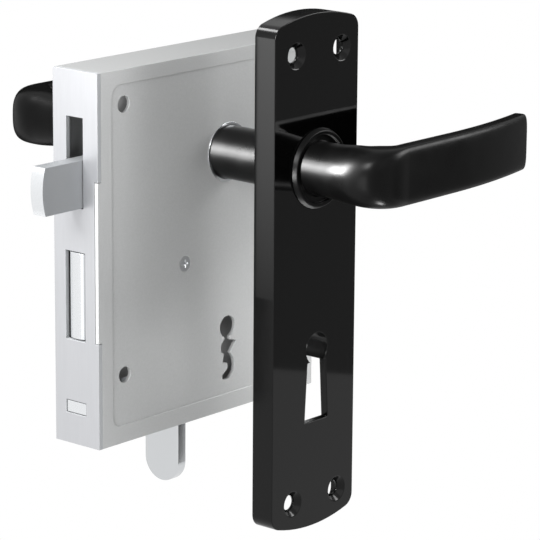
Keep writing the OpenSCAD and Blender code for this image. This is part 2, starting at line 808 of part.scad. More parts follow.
// Deadbolt: crowned head in the forend's window, and a tail worked by the key
module deadbolt() {
    crown = 1;
    crown_r = (pow(bolt_t / 2, 2) + pow(crown, 2)) / (2 * crown);
    head_z = bolt_z - bolt_h / 2;
    slot_half = guide_r + guide_play;
    color(bright) difference() {
        union() {
            intersection() {
                translate([bolt_end_x, mid_y - bolt_t / 2, head_z])
                    cube([bolt_head_l, bolt_t, bolt_h]);
                translate([bolt_end_x + crown_r, mid_y, head_z])
                    cylinder(r = crown_r, h = bolt_h, $fn = 96);
            }
            translate([bolt_end_x + crown_r, mid_y - bolt_t / 2, head_z])
                cube([bolt_head_l - crown_r, bolt_t, bolt_h]);
            translate([forend_x + bolt_head_l - over, tail_y, tail_low_z])
                cube([tail_end_x - forend_x - bolt_head_l + over, tail_t, tail_h]);
        }
        hull_free_slot(guide_x, guide_x + bolt_throw, guide_z, slot_half);
        for (x = [notch_x, notch_x + bolt_throw])
            translate([x - notch_w / 2, tail_y - over, tail_top_z - notch_h])
                cube([notch_w, tail_t + 2 * over, notch_h + over]);
        along_y(tail_y - over, tail_t + 2 * over) translate([talon_x, tail_low_z]) polygon([
            [-talon_low_w / 2, -over], [talon_low_w / 2, -over], [talon_top_w / 2, 2.4],
            [talon_top_w / 2, talon_h], [-talon_top_w / 2, talon_h], [-talon_top_w / 2, 2.4]
        ]);
    }
}

// Slot with round ends, cut right through the case's depth
module hull_free_slot(x0, x1, z, half) {
    for (x = [x0, x1]) rod_y(half, 0, case_t, x, z);
    translate([x0, 0, z - half]) cube([x1 - x0, case_t, 2 * half]);
}

// Guide posts of the deadbolt: one in its slot and one over its tail
module bolt_guides() {
    color(dark_steel) {
        post(2, guide_r, cover_in_y + 0.3);
        post(3, guide_r, cover_in_y + 0.3);
    }
}

// Tumbler: a lever that drops its stump into the deadbolt's notches
module tumbler() {
    color(brass) difference() {
        union() {
            along_y(tumbler_y, tumbler_t) {
                translate([tumbler_x, tumbler_z]) circle(tumbler_boss_r);
                difference() {
                    polygon([
                        [tumbler_x - 2, tumbler_z + 5], [tumbler_x - 15, tumbler_z + 5],
                        [notch_x - 3.5, tumbler_z + 1.5], [notch_x - 3.5, tail_top_z - 0.6],
                        [notch_x + 3, tumbler_low_z], [key_x + 12, tumbler_low_z],
                        [tumbler_x, tumbler_z - 4.5]
                    ]);
                    translate([key_x + 6, tumbler_low_z - 22]) circle(22.8, $fn = 128);
                }
            }
            rod_y(tumbler_boss_r - 1, tumbler_y - 1.5, tumbler_y + tumbler_t + 1,
                tumbler_x, tumbler_z);
            translate([notch_x - stump_w / 2, tail_y + 0.1, tail_top_z + stump_lift])
                cube([stump_w, tumbler_y - tail_y, tumbler_z - 2 - tail_top_z]);
        }
        rod_y(tumbler_pin_r + fit / 2, 0, case_t, tumbler_x, tumbler_z);
    }
}

module tumbler_pivot() {
    color(dark_steel) post(4, tumbler_pin_r, cover_in_y + 0.3);
}

module spring_pin() {
    color(dark_steel) post(5, pin_r, tumbler_y - 1);
}

// Bent strip between the tumbler's back and the spring pin, which presses the tumbler down
module tumbler_spring() {
    color(steel) along_y(tumbler_y + 0.1, tumbler_t - 0.2) {
        translate([strip_x, strip_z]) square([8, strip_t]);
        intersection() {
            difference() {
                translate([strip_x, strip_z + strip_r]) circle(strip_r, $fn = 192);
                translate([strip_x, strip_z + strip_r]) circle(strip_r - strip_t, $fn = 192);
            }
            translate([pin_x - 2, strip_z - over]) square([strip_x + 0.1 - pin_x + 2, 12]);
        }
    }
}

// Night bolt: flat bar behind the forend's lowest window
module night_bolt() {
    color(bright) difference() {
        translate([bolt_end_x, mid_y - night_w / 2, night_z - night_h / 2])
            cube([night_tail_x - bolt_end_x - thumb_t - face, night_w, night_h]);
        for (x = [detent_x, detent_x + night_throw])
            if (x + detent_r < night_tail_x - thumb_t)
                rod_y(detent_r, 0, case_t, x, night_z + night_h / 2 + detent_r - detent_h);
    }
}

// Thumb tab: stem through the case's bottom and a round-ended grip below it
module thumb_tab() {
    x0 = forend_x + thumb_back;
    half = thumb_w / 2;
    below = -case_down - 0.4;
    end_z = -case_down - thumb_down;
    mid = case_t / 2;
    color(bright) along_x(x0, thumb_t) {
        translate([mid - stem_w / 2, below - over])
            square([stem_w, night_z + night_h / 2 - below + over]);
        translate([mid - half, end_z + half]) square([thumb_w, below - end_z - half]);
        translate([mid, end_z + half]) circle(half);
    }
}

// Guide of the night bolt: a block with a slot, fixed on the room wall
module night_guide() {
    hole_w = night_w + 2 * slot_play;
    hole_h = night_h + 2 * slot_play;
    color(steel) along_x(night_guide_x, guide_l) difference() {
        translate([mid_y - hole_w / 2 - guide_wall, night_z - hole_h / 2 - guide_wall])
            square([room_y - face - mid_y + hole_w / 2 + guide_wall, hole_h + 2 * guide_wall]);
        translate([mid_y - hole_w / 2, night_z - hole_h / 2]) square([hole_w, hole_h]);
    }
}

// Leaf spring on the guide, with a bead that drops in the night bolt's notches
module detent_spring() {
    x0 = night_guide_x + 1;
    low = night_z + night_h / 2 + slot_play + guide_wall + face;
    end_x = detent_x + 2.5;
    bead_z = night_z + night_h / 2 + detent_r - detent_h + 0.05;
    color(steel) along_y(mid_y - 2.5, 5) {
        translate([x0, low]) square([end_x - x0, strip_t]);
        translate([detent_x - 0.4, bead_z]) square([0.8, low - bead_z + 0.2]);
        translate([detent_x, bead_z]) circle(detent_r - 0.1);
    }
}

case_shell();
cover_plate();
forend_plate();
cover_screw();
cover_pillar();
outer_bush();
inner_bush();
follower();
spindle();
outer_lever();
inner_lever();
grub_screws();
door_plate();
plate_collar();
neck_clip();
latch_bar();
latch_pivot();
latch_stop();
latch_spring();
deadbolt();
bolt_guides();
tumbler();
tumbler_pivot();
tumbler_spring();
spring_pin();
night_bolt();
thumb_tab();
night_guide();
detent_spring();
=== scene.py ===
"""Looks of a rim door lock with lever handles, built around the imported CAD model.

The frame is the row's: +X from the forend to the case's rear, +Y from the door into the room,
+Z up. Sizes and places are in millimetres, and mm() turns them to Blender's metres.
"""

import math

import bmesh
import bpy
from mathutils import Matrix, Vector


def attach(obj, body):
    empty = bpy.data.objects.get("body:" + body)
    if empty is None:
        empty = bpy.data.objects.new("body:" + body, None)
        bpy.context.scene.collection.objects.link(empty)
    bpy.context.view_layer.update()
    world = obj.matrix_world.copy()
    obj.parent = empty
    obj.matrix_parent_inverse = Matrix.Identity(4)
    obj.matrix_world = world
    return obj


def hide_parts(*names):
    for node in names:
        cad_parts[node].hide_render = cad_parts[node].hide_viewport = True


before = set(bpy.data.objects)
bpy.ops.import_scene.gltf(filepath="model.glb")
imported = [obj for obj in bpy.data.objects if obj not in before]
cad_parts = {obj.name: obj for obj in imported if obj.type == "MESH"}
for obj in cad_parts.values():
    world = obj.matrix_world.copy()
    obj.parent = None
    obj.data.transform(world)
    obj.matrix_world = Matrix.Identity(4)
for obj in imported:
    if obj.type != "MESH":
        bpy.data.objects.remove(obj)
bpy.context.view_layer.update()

MM = 0.001

# Places, as in the part's source
SPINDLE_X = 11.25
SPINDLE_Z = 26.0
CASE_T = 23.5
# How far the grips' middle lines stand out of the case's door side and out of its room side
OUTER_REACH = 78.4
INNER_REACH = 91.0
# The necks' inner ends along Y, inside the case
OUTER_NECK_END = 3.05
INNER_NECK_END = 21.0


def mm(*values):
    """Millimetres to a Vector in metres."""
    return Vector(values) * MM


# Camera: the photograph's own place and lens, 540 pixels square

FOCAL_PX = 3053.1
PHOTO_PX = 540
SENSOR_MM = 36.0
CAMERA_AT = (-878.2, -787.9, 272.9)
AZIMUTH, ELEVATION, ROLL = (math.radians(a) for a in (-49.267, 13.955, 0.417))
# What the camera sees, from near to far, in metres
NEAR_M, FAR_M = 0.05, 50


def add_camera():
    """back points from the lock to the camera, and side and top are the picture's own axes,
    rolled a little about it."""
    back = Vector((
        math.sin(AZIMUTH) * math.cos(ELEVATION),
        -math.cos(AZIMUTH) * math.cos(ELEVATION),
        math.sin(ELEVATION),
    ))
    right = (-back).cross(Vector((0, 0, 1))).normalized()
    up = right.cross(-back)
    side = right * math.cos(ROLL) + up * math.sin(ROLL)
    top = up * math.cos(ROLL) - right * math.sin(ROLL)
    data = bpy.data.cameras.new("camera")
    data.sensor_width = SENSOR_MM
    data.sensor_height = SENSOR_MM
    data.sensor_fit = "HORIZONTAL"
    data.lens = FOCAL_PX * SENSOR_MM / PHOTO_PX
    data.clip_start = NEAR_M
    data.clip_end = FAR_M
    camera = bpy.data.objects.new("camera", data)
    turn = Matrix((side, top, back)).transposed().to_4x4()
    camera.matrix_world = Matrix.Translation(mm(*CAMERA_AT)) @ turn
    bpy.context.scene.collection.objects.link(camera)
    bpy.context.scene.camera = camera


# Materials

WHITE = (1, 1, 1, 1)
# Sockets of a Mix node that mixes colours: they share their names with those of other kinds
MIX_FACTOR, MIX_A, MIX_B, MIX_RESULT = 0, 6, 7, 2
# Cosines of a face's angle to an axis: it starts to count as looking along the axis at the
# first, and does so wholly at the second
ASLANT, SQUARE_ON = 0.9, 0.97
# Cut edges of plated steel: added roughness, and how metallic they are
EDGE_ROUGHER = 0.3
EDGE_METALLIC = 0.35
# How the grain of a metal is drawn out along the axes
ALONG_Z = (1.0, 1.0, 0.04)
ALONG_X = (0.04, 1.0, 1.0)
ALL_WAYS = (1.0, 1.0, 1.0)
# Width of the patches of a black casting that are a little rougher or smoother than the rest
PATCH = 12
# Flake of the case's lacquer, far coarser than the real one, which wouldn't show
FLAKE = 0.7


def srgb(text):
    """A hex colour in sRGB as linear RGBA."""
    parts = [int(text[i:i + 2], 16) / 255 for i in (1, 3, 5)]
    return [p / 12.92 if p <= 0.04045 else ((p + 0.055) / 1.055) ** 2.4 for p in parts] + [1.0]


def add(tree, kind, inputs=None, stops=(), **settings):
    """Adds a node. inputs are values or sockets by input, stops are the two ends of a colour
    ramp as (place, hex or value), and settings are the node's own properties."""
    node = tree.nodes.new(kind)
    for name, value in settings.items():
        setattr(node, name, value)
    for name, value in (inputs or {}).items():
        if isinstance(value, bpy.types.NodeSocket):
            tree.links.new(value, node.inputs[name])
        else:
            node.inputs[name].default_value = value
    if stops:
        for end, (place, value) in zip(node.color_ramp.elements, stops):
            end.position = place
            end.color = srgb(value) if isinstance(value, str) else (value, value, value, 1)
    return node


def new_material(name):
    """An empty material and its node tree."""
    material = bpy.data.materials.new(name)
    material.use_nodes = True
    tree = material.node_tree
    tree.nodes.clear()
    return material, tree


def looks_along(tree, axis):
    """1 on faces that look along an axis, 0 on the others, with a soft change between them."""
    normal = add(tree, "ShaderNodeSeparateXYZ", {
        "Vector": add(tree, "ShaderNodeNewGeometry").outputs["Normal"],
    })
    size = add(tree, "ShaderNodeMath", {0: normal.outputs[axis]}, operation="ABSOLUTE")
    return add(tree, "ShaderNodeValToRGB", {"Fac": size.outputs[0]}, stops=(
        (ASLANT, 0.0), (SQUARE_ON, 1.0),
    )).outputs["Color"]


def shown_rays(tree):
    """1 for a ray that shows the studio, from the camera, a mirror or glass, and 0 for one
    that only carries its light."""
    rays = add(tree, "ShaderNodeLightPath").outputs
    mirrored = add(tree, "ShaderNodeMath", {
        0: rays["Is Camera Ray"], 1: rays["Is Glossy Ray"],
    }, operation="MAXIMUM")
    return add(tree, "ShaderNodeMath", {
        0: mirrored.outputs[0], 1: rays["Is Transmission Ray"],
    }, operation="MAXIMUM").outputs[0]


def satin_metal(name, dark, light, roughness, spread, grain, stretch, edges=None):
    """A metal with fine drawn grain: two close tones, and roughness that follows the grain.
    Real grain is too fine to show, so it is drawn as coarse as grain says. stretch scales the
    pattern's axes, so the grain runs along the axis with the smallest. With a tone for the
    sides, faces that don't look along X take that darker tone, which is painted shade, and are
    rougher and less metallic: plated, but not brushed."""
    material, tree = new_material(name)
    mapped = add(tree, "ShaderNodeMapping", {
        "Vector": add(tree, "ShaderNodeTexCoord").outputs["Object"],
        "Scale": [s / (grain * MM) for s in stretch],
    })
    drawn = add(tree, "ShaderNodeTexNoise", {
        "Vector": mapped.outputs["Vector"], "Scale": 1.0, "Detail": 3.0, "Roughness": 0.6,
    }).outputs["Fac"]
    tone = add(tree, "ShaderNodeValToRGB", {"Fac": drawn}, stops=(
        (0.3, dark), (0.7, light),
    )).outputs["Color"]
    rough = add(tree, "ShaderNodeValToRGB", {"Fac": drawn}, stops=(
        (0.3, roughness - spread), (0.7, roughness + spread),
    )).outputs["Color"]
    metallic = 1.0
    if edges:
        face = looks_along(tree, "X")
        # Painted shade: faces that don't look along X take the darker side tone
        tone = add(tree, "ShaderNodeMix", {
            MIX_FACTOR: face, MIX_A: srgb(edges), MIX_B: tone,
        }, data_type="RGBA").outputs[MIX_RESULT]
        added = add(tree, "ShaderNodeMath", {
            0: face, 1: -EDGE_ROUGHER, 2: EDGE_ROUGHER,
        }, operation="MULTIPLY_ADD")
        rough = add(tree, "ShaderNodeMath", {
            0: rough, 1: added.outputs[0],
        }, operation="ADD").outputs[0]
        metallic = add(tree, "ShaderNodeMath", {
            0: face, 1: 1 - EDGE_METALLIC, 2: EDGE_METALLIC,
        }, operation="MULTIPLY_ADD").outputs[0]
    skin = add(tree, "ShaderNodeBump", {
        "Strength": 0.03, "Distance": 0.002 * MM, "Height": drawn,
    })
    shader = add(tree, "ShaderNodeBsdfPrincipled", {
        "Base Color": tone, "Metallic": metallic, "Roughness": rough,
        "Normal": skin.outputs["Normal"],
    })
    add(tree, "ShaderNodeOutputMaterial", {"Surface": shader.outputs["BSDF"]})
    return material


def black_gloss(name, roughness, side_roughness, ripple, index):
    """Stoved gloss black on a zinc casting: a deep black with a smooth, very slightly rippled
    skin, whose roughness drifts a little from place to place. Faces that look along Y may be
    polished, with the sides left duller. The index is under a lacquer's own 1.5, since the
    real black mirrors little."""
    material, tree = new_material(name)
    where = add(tree, "ShaderNodeTexCoord").outputs["Object"]
    rippled = add(tree, "ShaderNodeTexNoise", {
        "Vector": where, "Scale": 1 / (ripple * MM), "Detail": 1.0,
    })
    cloud = add(tree, "ShaderNodeTexNoise", {
        "Vector": where, "Scale": 1 / (PATCH * MM), "Detail": 2.0,
    })
    base = add(tree, "ShaderNodeValToRGB", {"Fac": looks_along(tree, "Y")}, stops=(
        (0.0, side_roughness), (1.0, roughness),
    ))
    drift = add(tree, "ShaderNodeValToRGB", {"Fac": cloud.outputs["Fac"]}, stops=(
        (0.35, 0.85), (0.65, 1.15),
    ))
    rough = add(tree, "ShaderNodeMath", {
        0: base.outputs["Color"], 1: drift.outputs["Color"],
    }, operation="MULTIPLY")
    skin = add(tree, "ShaderNodeBump", {
        "Strength": 0.02, "Distance": 0.006 * MM, "Height": rippled.outputs["Fac"],
    })
    shader = add(tree, "ShaderNodeBsdfPrincipled", {
        "Base Color": srgb("#020202"), "Metallic": 0.0, "IOR": index,
        "Roughness": rough.outputs[0], "Normal": skin.outputs["Normal"],
    })
    add(tree, "ShaderNodeOutputMaterial", {"Surface": shader.outputs["BSDF"]})
    return material


def case_lacquer():
    """Silver-grey metallic lacquer on cold-rolled sheet: a satin grey whose fine flake
    mottles it, a little duller than bare metal."""
    material, tree = new_material("silver_grey_metallic_lacquer")
    flake = add(tree, "ShaderNodeTexNoise", {
        "Vector": add(tree, "ShaderNodeTexCoord").outputs["Object"],
        "Scale": 1 / (FLAKE * MM), "Detail": 2.0, "Roughness": 0.7,
    }).outputs["Fac"]
    tone = add(tree, "ShaderNodeValToRGB", {"Fac": flake}, stops=(
        (0.3, "#A7A8A8"), (0.7, "#ADAEAE"),
    ))
    rough = add(tree, "ShaderNodeValToRGB", {"Fac": flake}, stops=((0.3, 0.40), (0.7, 0.46)))
    shader = add(tree, "ShaderNodeBsdfPrincipled", {
        "Base Color": tone.outputs["Color"], "Roughness": rough.outputs["Color"],
        "Metallic": 0.35, "IOR": 1.5,
    })
    add(tree, "ShaderNodeOutputMaterial", {"Surface": shader.outputs["BSDF"]})
    return material


def matt_white():
    """Matt white studio sweep under and behind the lock."""
    material, tree = new_material("matt_white_sweep")
    shader = add(tree, "ShaderNodeBsdfPrincipled", {
        "Base Color": srgb("#F4F4F4"), "Roughness": 0.9, "IOR": 1.3,
    })
    white = add(tree, "ShaderNodeEmission", {"Color": WHITE, "Strength": 1.0})
    mix = add(tree, "ShaderNodeMixShader", {
        "Fac": shown_rays(tree), 1: shader.outputs["BSDF"], 2: white.outputs["Emission"],
    })
    add(tree, "ShaderNodeOutputMaterial", {"Surface": mix.outputs["Shader"]})
    return material


FINISH = {
    "case": case_lacquer(),
    # Zinc-plated steel, brushed before plating: bright and even, with grain along its length.
    # Its sides take a darker tone, which is painted shade
    "forend": satin_metal(
        "zinc_plated_steel_brushed", "#C4C5C8", "#C7C8CB",
        roughness=0.42, spread=0.01, grain=0.5, stretch=ALONG_Z, edges="#9C9EA0",
    ),
    # The same plating over a ground face, on the bushes and the thumb tab: a sharper shine
    "ground": satin_metal(
        "zinc_plated_steel_ground", "#CDCFD1", "#D2D4D6",
        roughness=0.24, spread=0.02, grain=0.4, stretch=ALONG_X,
    ),
    # The screw's plating is barrelled, so it is duller
    "screw": satin_metal(
        "zinc_plated_screw_barrelled", "#CDCFD1", "#D2D4D6",
        roughness=0.5, spread=0.03, grain=0.3, stretch=ALL_WAYS,
    ),
    # The latch and both bolts are bright on their noses, and their sides take a darker tone,
    # which is painted shade
    "rubbed": satin_metal(
        "zinc_plated_steel_shaded_sides", "#E4E6E8", "#E9EBED",
        roughness=0.24, spread=0.02, grain=0.4, stretch=ALONG_X, edges="#7C7E80",
    ),
    # Turned steel, oiled: mid grey with little grain
    "steel": satin_metal(
        "turned_free_cutting_steel", "#8B8E90", "#9B9EA0",
        roughness=0.34, spread=0.05, grain=0.6, stretch=ALL_WAYS,
    ),
    # Hardened spring wire and strip: dark with a blue-grey bloom
    "spring": satin_metal(
        "oil_tempered_spring_steel", "#5C6064", "#6B6F73",
        roughness=0.32, spread=0.05, grain=0.6, stretch=ALL_WAYS,
    ),
    # Stamped half-hard brass: warm, with the sheet's rolled grain
    "brass": satin_metal(
        "half_hard_brass_sheet", "#B9964F", "#C7A55E",
        roughness=0.30, spread=0.05, grain=0.7, stretch=ALONG_X,
    ),
    # The plate is rubbed flat before its gloss coat, so it mirrors the lever
    "plate": black_gloss(
        "gloss_black_lacquer_flat", roughness=0.04, side_roughness=0.17, ripple=3.0, index=1.3
    ),
    # The levers and the collar are coated as cast, so their shine is broad and soft
    "black": black_gloss(
        "gloss_black_lacquer_cast", roughness=0.32, side_roughness=0.32, ripple=2.0, index=1.2
    ),
}


# Pieces

# Points of a CAD mesh closer than this, in metres, are one point
SAME_POINT_M = 2e-7
# Faces flatter to each other than the first angle are joined, edges sharper than the second are
# rounded, and edges sharper than the third aren't shaded smooth
FLAT_DEG = 0.5
SHARP_DEG = 30.0
CREASE_DEG = 35.0


def in_scene(name, bm, material):
    """Puts a bmesh in the scene, as an object in one material."""
    mesh = bpy.data.meshes.new(name)
    bm.to_mesh(mesh)
    bm.free()
    mesh.materials.append(material)
    thing = bpy.data.objects.new(name, mesh)
    bpy.context.scene.collection.objects.link(thing)
    return thing


def finished(name, bm, finish, body, node):
    """Makes a node's piece of a bmesh: shaded smooth, dressed, and riding on a body."""
    piece = in_scene(name, bm, FINISH[finish])
    for face in piece.data.polygons:
        face.use_smooth = True
    piece.data.set_sharp_from_angle(angle=math.radians(CREASE_DEG))
    # Flats keep their own normals, and the rounded edges turn between them
    weighted = piece.modifiers.new("flats", "WEIGHTED_NORMAL")
    weighted.mode = "FACE_AREA"
    weighted.weight = 100
    weighted.keep_sharp = True
    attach(piece, body)
    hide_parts(node)
    return piece


def taken(name, node, finish, body, radius, segments):
    """A piece in a CAD node's shape: its loose triangles are joined into whole faces, and its
    sharp edges are rounded."""
    bm = bmesh.new()
    bm.from_mesh(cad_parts[node].data)
    bmesh.ops.remove_doubles(bm, verts=bm.verts, dist=SAME_POINT_M)
    bmesh.ops.dissolve_limit(
        bm, angle_limit=math.radians(FLAT_DEG), verts=bm.verts, edges=bm.edges
    )
    sharp = [
        e for e in bm.edges if e.is_manifold and e.calc_face_angle() > math.radians(SHARP_DEG)
    ]
    bmesh.ops.bevel(
        bm, geom=sharp, offset=radius * MM, offset_type="OFFSET", affect="EDGES",
        segments=segments, profile=0.5, material=-1, clamp_overlap=True,
    )
    return finished(name, bm, finish, body, node)


# Levers, in the sizes of the part's source

LEVER_L = 97.0
NECK_R = 10.7
ELBOW_R = 11.5
GRIP_T, GRIP_TIP_T = 8.4, 7.0
GRIP_H, GRIP_TIP_H = 23.4, 23.2
# The grip is straight to this distance from the spindle, and then bends towards the case
GRIP_STRAIGHT = 42.5
GRIP_BEND_R = 240.0
TIP_R = 2.5
# Powers of the outline's superellipse: round at the neck, and nearly square at the grip
NECK_POWER, GRIP_POWER = 2.0, 5.0
# A place on a lever's middle line counts from the start of its elbow. The neck becomes the grip
# in height, thickness and outline between these places
NECK_LEAD = 12.0
HEIGHT_CHANGES = (-NECK_LEAD, 1.0)
THICKNESS_CHANGES = (5.5, 18.5)
OUTLINE_CHANGES = (-2.5, 22.5)
# Points of a ring, and rings along each stretch
LEVER_SIDES = 72
NECK_STEPS, ELBOW_STEPS, GRIP_STEPS, TIP_STEPS = 8, 24, 32, 8


def between(first, last, share):
    """The value at a share of the way from a first to a last one."""
    return first + (last - first) * share


def done(changes, place):
    """Share of a change along the middle line that is done at a place on it."""
    start, end = changes
    share = max(0.0, min(1.0, (place - start) / (end - start)))
    return share * share * (3 - 2 * share)


def superellipse(angle, power):
    """A point at an angle on a unit superellipse."""
    c, s = math.cos(angle), math.sin(angle)
    return (
        math.copysign(abs(c) ** (2 / power), c), math.copysign(abs(s) ** (2 / power), s)
    )


def lever_ring(x, y, turn, place, along_grip=0.0, inset=0.0):
    """A ring of a lever: (x, y, turn, half thickness, half height, power). place is on the
    middle line, along_grip is the share of the grip behind it, and inset draws the ring in."""
    thick = between(GRIP_T, GRIP_TIP_T, along_grip) - 2 * inset
    high = between(GRIP_H, GRIP_TIP_H, along_grip) - 2 * inset
    return (
        x, y, turn,
        between(NECK_R, thick / 2, done(THICKNESS_CHANGES, place)),
        between(NECK_R, high / 2, done(HEIGHT_CHANGES, place)),
        between(NECK_POWER, GRIP_POWER, done(OUTLINE_CHANGES, place)),
    )


def grip_ring(x, reach, inset=0.0):
    """A ring of the grip at a distance x from the spindle."""
    turn = math.asin(max(0.0, x - GRIP_STRAIGHT) / GRIP_BEND_R)
    return lever_ring(
        x, reach - GRIP_BEND_R * (1 - math.cos(turn)), math.pi / 2 - turn,
        ELBOW_R * (math.pi / 2 - 1) + x, (x - ELBOW_R) / (LEVER_L - ELBOW_R), inset,
    )


def lever_rings(reach):
    """Rings of a lever, from its neck's inner end to its tip, in the spindle's own frame with
    +Y outward."""
    rings = [(0.0, 0.0, math.pi, NECK_R, NECK_R, NECK_POWER)]
    for i in range(NECK_STEPS):
        place = -NECK_LEAD * (1 - i / NECK_STEPS)
        rings.append(lever_ring(0.0, reach - ELBOW_R + place, math.pi, place))
    for i in range(ELBOW_STEPS + 1):
        angle = math.pi / 2 * i / ELBOW_STEPS
        rings.append(lever_ring(
            ELBOW_R * (1 - math.cos(angle)), reach - ELBOW_R * (1 - math.sin(angle)),
            math.pi - angle, ELBOW_R * angle,
        ))
    for i in range(1, GRIP_STEPS + 1):
        rings.append(grip_ring(ELBOW_R + (LEVER_L - TIP_R - ELBOW_R) * i / GRIP_STEPS, reach))
    for i in range(1, TIP_STEPS + 1):
        angle = math.pi / 2 * i / TIP_STEPS
        rings.append(grip_ring(
            LEVER_L - TIP_R * (1 - math.sin(angle)), reach, TIP_R * (1 - math.cos(angle))
        ))
    return rings


def lever(name, node, reach, neck_end, outward):
    """A lever drawn as one skin from ring to ring, so that the neck flows into the grip. reach
    counts from the neck's inner end, and outward is the way the neck points along Y."""
    bm = bmesh.new()
    angle = bm.verts.layers.float.new("angle")
    ring = bmesh.ops.create_circle(bm, segments=LEVER_SIDES, radius=1.0)["verts"]
    for vert in ring:
        vert[angle] = math.atan2(vert.co.y, vert.co.x)
    edges = bm.edges[:]
    for i, (x, y, turn, half_t, half_h, power) in enumerate(lever_rings(reach)):
        if i:
            grown = bmesh.ops.extrude_edge_only(bm, edges=edges)["geom"]
            ring = [g for g in grown if isinstance(g, bmesh.types.BMVert)]
            new = set(ring)
            edges = [
                g for g in grown if isinstance(g, bmesh.types.BMEdge) and new.issuperset(g.verts)
            ]
        for vert in ring:
            u, w = superellipse(vert[angle], power)
            vert.co = mm(
                SPINDLE_X + x + u * half_t * math.cos(turn),
                neck_end + outward * (y + u * half_t * math.sin(turn)),
                SPINDLE_Z + w * half_h,
            )
    bmesh.ops.holes_fill(bm, edges=bm.edges, sides=LEVER_SIDES)
    bmesh.ops.recalc_face_normals(bm, faces=bm.faces)
    return finished(name, bm, "black", "handle", node)


outer = lever(
    "outer_lever_cast", "outer_lever", OUTER_REACH + OUTER_NECK_END, OUTER_NECK_END, outward=-1
)
lever(
    "inner_lever_cast", "inner_lever", INNER_REACH + CASE_T - INNER_NECK_END, INNER_NECK_END,
    outward=1,
)

# Each piece's name, node, finish and body, the radius of its edges and the segments round them
taken("outer_plate_cast", "door_plate", "plate", "case", 0.5, 3)
collar = taken("collar_turned", "plate_collar", "black", "case", 0.35, 3)
taken("case_pressed", "case_shell", "case", "case", 0.35, 2)
cover = taken("cover_pressed", "cover_plate", "case", "case", 0.2, 2)
taken("forend_milled", "forend_plate", "forend", "case", 0.25, 2)
taken("cover_screw_driven", "cover_screw", "screw", "case", 0.08, 1)
taken("pillar_turned", "cover_pillar", "steel", "case", 0.15, 1)
taken("outer_bush_turned", "outer_bush", "ground", "case", 0.12, 2)
taken("inner_bush_turned", "inner_bush", "ground", "case", 0.12, 2)
taken("latch_ground", "latch_bar", "rubbed", "latch", 0.35, 2)
taken("latch_pivot_riveted", "latch_pivot", "steel", "case", 0.12, 1)
taken("latch_stop_riveted", "latch_stop", "steel", "case", 0.12, 1)
taken("deadbolt_ground", "deadbolt", "rubbed", "deadbolt", 0.3, 2)
taken("guides_riveted", "bolt_guides", "steel", "case", 0.12, 1)
taken("tumbler_stamped", "tumbler", "brass", "tumbler", 0.12, 1)
taken("tumbler_pivot_riveted", "tumbler_pivot", "steel", "case", 0.12, 1)
taken("spring_pin_riveted", "spring_pin", "steel", "case", 0.1, 1)
taken("night_bolt_ground", "night_bolt", "rubbed", "night_bolt", 0.3, 2)
taken("thumb_tab_cast", "thumb_tab", "ground", "night_bolt", 0.5, 3)
taken("night_guide_bent", "night_guide", "steel", "case", 0.2, 1)
taken("follower_cast", "follower", "steel", "handle", 0.2, 1)
taken("spindle_drawn", "spindle", "steel", "handle", 0.15, 1)
taken("grub_screws_turned", "grub_screws", "steel", "handle", 0.08, 1)
taken("neck_clip_stamped", "neck_clip", "spring", "handle", 0.08, 1)
# The springs stay the solids of the CAD model, and only take their finish
for node in ("latch_spring", "tumbler_spring", "detent_spring"):
    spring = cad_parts[node]
    spring.data.materials.clear()
    spring.data.materials.append(FINISH["spring"])


# Studio

FLOOR_HALF = 6000
FLOOR_Z = -190
WORLD_LIGHT = 0.5
BULB_R = 4


def add_sheet(name, half, material, at):
    """A flat rectangle with its middle at a point. half is its half sizes along X and Y."""
    bm = bmesh.new()
    bmesh.ops.create_grid(bm, x_segments=1, y_segments=1, size=1.0)
    bmesh.ops.scale(bm, verts=bm.verts, vec=mm(*half, 1))
    sheet = in_scene(name, bm, material)
    sheet.location = mm(*at)
    return sheet


def add_floor():
    floor = add_sheet("floor", (FLOOR_HALF, FLOOR_HALF), matt_white(), (0, 0, FLOOR_Z))


def add_card(name, tone, at, facing, half, blocks=False, glow=(1.0, 1.0)):
    """A card that the camera doesn't see. at is its middle, and facing its normal. Only
    reflections show it, unless it also blocks the lamps' light. glow is its strength at its
    lower and upper edge."""
    material, tree = new_material(name)
    height = add(tree, "ShaderNodeSeparateXYZ", {
        "Vector": add(tree, "ShaderNodeTexCoord").outputs["Object"],
    }).outputs["Y"]
    strength = add(tree, "ShaderNodeMapRange", {
        "Value": height, "From Min": -half[1] * MM, "From Max": half[1] * MM,
        "To Min": glow[0], "To Max": glow[1],
    }).outputs["Result"]
    shown = add(tree, "ShaderNodeEmission", {
        "Color": srgb(tone), "Strength": strength,
    }).outputs["Emission"]
    if not blocks:
        rays = add(tree, "ShaderNodeLightPath")
        clear = add(tree, "ShaderNodeBsdfTransparent")
        shown = add(tree, "ShaderNodeMixShader", {
            "Fac": rays.outputs["Is Glossy Ray"], 1: clear.outputs["BSDF"], 2: shown,
        }).outputs["Shader"]
    add(tree, "ShaderNodeOutputMaterial", {"Surface": shown})
    card = add_sheet(name, half, material, at)
    card.rotation_euler = Vector(facing).to_track_quat("Z", "Y").to_euler()
    card.visible_camera = False
    card.visible_diffuse = False


def hang(name, light, at):
    """Puts a light in the scene at a point, where the camera doesn't see it."""
    lamp = bpy.data.objects.new(name, light)
    lamp.location = mm(*at)
    lamp.visible_camera = False
    bpy.context.scene.collection.objects.link(lamp)
    return lamp


